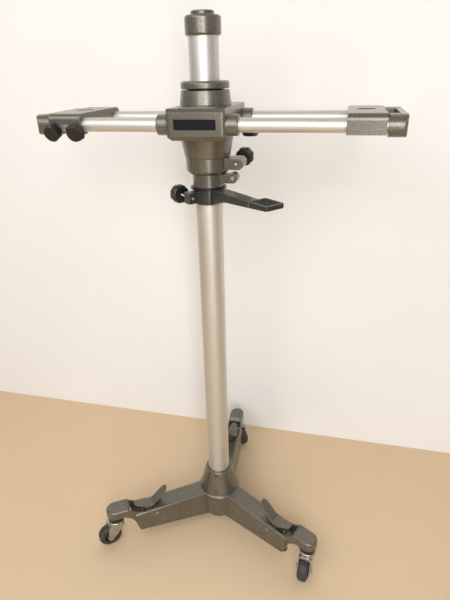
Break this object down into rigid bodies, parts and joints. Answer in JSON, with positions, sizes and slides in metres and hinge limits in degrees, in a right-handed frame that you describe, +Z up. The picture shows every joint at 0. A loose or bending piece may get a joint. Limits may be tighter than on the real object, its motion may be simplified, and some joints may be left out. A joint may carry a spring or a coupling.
{
  "type": "studio camera stand",
  "caption": "Rolling studio camera stand: a cast base on braked casters, an upright tube, and a sliding, turning carriage with a tube cross-arm that carries camera platforms.",
  "frame": {"origin": "on the floor under the axis of the upright tube", "axes": "+Z up along the tube, X along the cross-arm with +X toward the right platform, +Y toward the rear arm of the base"},
  "size_m": [0.853, 0.6403, 1.5635],
  "materials": {
    "hammer_paint": "hammer-finish olive-grey enamel",
    "dark_paint": "dark grey-green enamel",
    "satin_tube": "satin anodised",
    "bright_steel": "zinc or nickel plated",
    "black_plastic": "moulded, slightly glossy",
    "black_plate": "bare black plate",
    "black_rubber": "matt",
    "grey_tyre": "matt dark grey"
  },
  "bodies": {
    "stand": {"base_casting": "hammer_paint", "hub_set_screws": "bright_steel", "arm_plugs": "hammer_paint", "caster_collars": "black_plastic", "pedal_pins": "bright_steel", "column_tube": "satin_tube", "column_cap": "hammer_paint", "brake_spring_left": "bright_steel", "brake_spring_right": "bright_steel", "brake_spring_rear": "bright_steel"},
    "left_caster": {"caster_fork_left": "bright_steel", "caster_axle_left": "bright_steel"},
    "left_wheel": {"caster_tyre_left": "grey_tyre", "caster_hub_left": "black_plastic"},
    "left_pedal": {"brake_pedal_left": "hammer_paint"},
    "left_brake": {"brake_plunger_left": "bright_steel", "brake_foot_left": "black_rubber"},
    "right_caster": {"caster_fork_right": "bright_steel", "caster_axle_right": "bright_steel"},
    "right_wheel": {"caster_tyre_right": "grey_tyre", "caster_hub_right": "black_plastic"},
    "right_pedal": {"brake_pedal_right": "hammer_paint"},
    "right_brake": {"brake_plunger_right": "bright_steel", "brake_foot_right": "black_rubber"},
    "rear_caster": {"caster_fork_rear": "bright_steel", "caster_axle_rear": "bright_steel"},
    "rear_wheel": {"caster_tyre_rear": "grey_tyre", "caster_hub_rear": "black_plastic"},
    "rear_pedal": {"brake_pedal_rear": "hammer_paint"},
    "rear_brake": {"brake_plunger_rear": "bright_steel", "brake_foot_rear": "black_rubber"},
    "guide": {"guide_sleeve": "bright_steel", "upper_bush": "black_plastic", "lower_bush": "black_plastic", "top_ring": "hammer_paint", "clamp_ring": "hammer_paint"},
    "clamp_handle": {"clamp_screw": "bright_steel", "clamp_knob": "black_plastic"},
    "carriage": {"carriage_body": "hammer_paint", "name_plate": "black_plate"},
    "stop": {"stop_collar": "hammer_paint", "stop_collar_screw": "bright_steel"},
    "liner": {"accessory_liner": "black_plastic"},
    "accessory": {"accessory_arm": "dark_paint", "accessory_pad": "black_rubber"},
    "accessory_handle": {"accessory_screw": "bright_steel", "accessory_knob": "black_plastic"},
    "cross_arm": {"front_tube": "satin_tube", "rear_tube": "satin_tube", "left_end_yoke": "hammer_paint", "right_end_yoke": "hammer_paint"},
    "cross_arm_lock": {"cross_arm_knob": "black_plastic"},
    "left_table": {"left_platform": "hammer_paint", "left_tube_straps": "hammer_paint"},
    "right_table": {"right_platform": "hammer_paint", "right_tube_straps": "hammer_paint"},
    "left_lock_outer": {"left_lock_knob_outer": "black_plastic"},
    "left_lock_inner": {"left_lock_knob_inner": "black_plastic"},
    "right_lock_outer": {"right_lock_knob_outer": "black_plastic"},
    "right_lock_inner": {"right_lock_knob_inner": "black_plastic"}
  },
  "joints": [
    {"name": "left_caster_swivel", "type": "hinge", "parent": "stand", "child": "left_caster", "pos_m": [-0.31123, -0.19448, 0.09], "axis": [0, 0, 1], "continuous": true},
    {"name": "left_wheel_spin", "type": "hinge", "parent": "left_caster", "child": "left_wheel", "pos_m": [-0.33192, -0.21184, 0.0375], "axis": [0.6428, -0.766, 0], "continuous": true},
    {"name": "left_pedal_tilt", "type": "hinge", "parent": "stand", "child": "left_pedal", "pos_m": [-0.19675, -0.12294, 0.101], "axis": [0.5299, -0.848, 0], "range_deg": [0, 25]},
    {"name": "left_brake_drop", "type": "slide", "parent": "stand", "child": "left_brake", "axis": [0, 0, -1], "range_m": [0, 0.0205], "stiffness_N_per_m": 800, "springref_m": -0.012, "deforming": ["brake_spring_left"]},
    {"name": "right_caster_swivel", "type": "hinge", "parent": "stand", "child": "right_caster", "pos_m": [0.32404, -0.1723, 0.09], "axis": [0, 0, 1], "continuous": true},
    {"name": "right_wheel_spin", "type": "hinge", "parent": "right_caster", "child": "right_wheel", "pos_m": [0.31797, -0.1986, 0.0375], "axis": [0.9744, -0.225, 0], "continuous": true},
    {"name": "right_pedal_tilt", "type": "hinge", "parent": "stand", "child": "right_pedal", "pos_m": [0.20484, -0.10892, 0.101], "axis": [0.4695, 0.8829, 0], "range_deg": [0, 25]},
    {"name": "right_brake_drop", "type": "slide", "parent": "stand", "child": "right_brake", "axis": [0, 0, -1], "range_m": [0, 0.0205], "stiffness_N_per_m": 800, "springref_m": -0.012, "deforming": ["brake_spring_right"]},
    {"name": "rear_caster_swivel", "type": "hinge", "parent": "stand", "child": "rear_caster", "pos_m": [-0.01281, 0.36678, 0.09], "axis": [0, 0, 1], "continuous": true},
    {"name": "rear_wheel_spin", "type": "hinge", "parent": "rear_caster", "child": "rear_wheel", "pos_m": [0.00628, 0.34769, 0.0375], "axis": [0.7071, 0.7071, 0], "continuous": true},
    {"name": "rear_pedal_tilt", "type": "hinge", "parent": "stand", "child": "rear_pedal", "pos_m": [-0.0081, 0.23186, 0.101], "axis": [-0.9994, -0.0349, 0], "range_deg": [0, 25]},
    {"name": "rear_brake_drop", "type": "slide", "parent": "stand", "child": "rear_brake", "axis": [0, 0, -1], "range_m": [0, 0.0205], "stiffness_N_per_m": 800, "springref_m": -0.012, "deforming": ["brake_spring_rear"]},
    {"name": "carriage_lift", "type": "slide", "parent": "stand", "child": "guide", "axis": [0, 0, 1], "range_m": [-0.7, 0.085]},
    {"name": "clamp_turn", "type": "hinge", "parent": "guide", "child": "clamp_handle", "pos_m": [0.077, 0, 1.234], "axis": [0, 1, 0], "range_deg": [0, 360]},
    {"name": "carriage_pan", "type": "hinge", "parent": "guide", "child": "carriage", "pos_m": [0, 0, 1.332], "axis": [0, 0, 1], "continuous": true},
    {"name": "cross_arm_slide", "type": "slide", "parent": "carriage", "child": "cross_arm", "axis": [1, 0, 0], "range_m": [-0.08, 0.08]},
    {"name": "cross_arm_lock_turn", "type": "hinge", "parent": "carriage", "child": "cross_arm_lock", "pos_m": [0.093, 0.0877, 1.3], "axis": [0, 0, -1], "range_deg": [0, 360]},
    {"name": "left_table_slide", "type": "slide", "parent": "cross_arm", "child": "left_table", "axis": [1, 0, 0], "range_m": [0, 0.08]},
    {"name": "right_table_slide", "type": "slide", "parent": "cross_arm", "child": "right_table", "axis": [1, 0, 0], "range_m": [-0.12, 0.003]},
    {"name": "left_lock_outer_turn", "type": "hinge", "parent": "left_table", "child": "left_lock_outer", "pos_m": [-0.3485, -0.0877, 1.332], "axis": [0, -0.9063, -0.4226], "range_deg": [0, 360]},
    {"name": "left_lock_inner_turn", "type": "hinge", "parent": "left_table", "child": "left_lock_inner", "pos_m": [-0.2895, -0.0877, 1.332], "axis": [0, -0.9063, -0.4226], "range_deg": [0, 360]},
    {"name": "right_lock_outer_turn", "type": "hinge", "parent": "right_table", "child": "right_lock_outer", "pos_m": [0.404, 0.0877, 1.332], "axis": [0, 0.9063, -0.4226], "range_deg": [0, 360]},
    {"name": "right_lock_inner_turn", "type": "hinge", "parent": "right_table", "child": "right_lock_inner", "pos_m": [0.345, 0.0877, 1.332], "axis": [0, 0.9063, -0.4226], "range_deg": [0, 360]},
    {"name": "stop_slide", "type": "slide", "parent": "guide", "child": "stop", "axis": [0, 0, 1], "range_m": [-0.08, 0]},
    {"name": "liner_slide", "type": "slide", "parent": "stop", "child": "liner", "axis": [0, 0, 1], "range_m": [-0.08, 0]},
    {"name": "accessory_swing", "type": "hinge", "parent": "liner", "child": "accessory", "pos_m": [0, 0, 1.152], "axis": [0, 0, 1], "continuous": true},
    {"name": "accessory_handle_turn", "type": "hinge", "parent": "accessory", "child": "accessory_handle", "pos_m": [-0.03747, -0.04162, 1.15195], "axis": [-0.7431, 0.6691, 0], "range_deg": [0, 360]}
  ],
  "couplings": [
    {"joint": "left_brake_drop", "follows": "left_pedal_tilt", "m_per_rad": 0.04698},
    {"joint": "right_brake_drop", "follows": "right_pedal_tilt", "m_per_rad": 0.04698},
    {"joint": "rear_brake_drop", "follows": "rear_pedal_tilt", "m_per_rad": 0.04698}
  ]
}
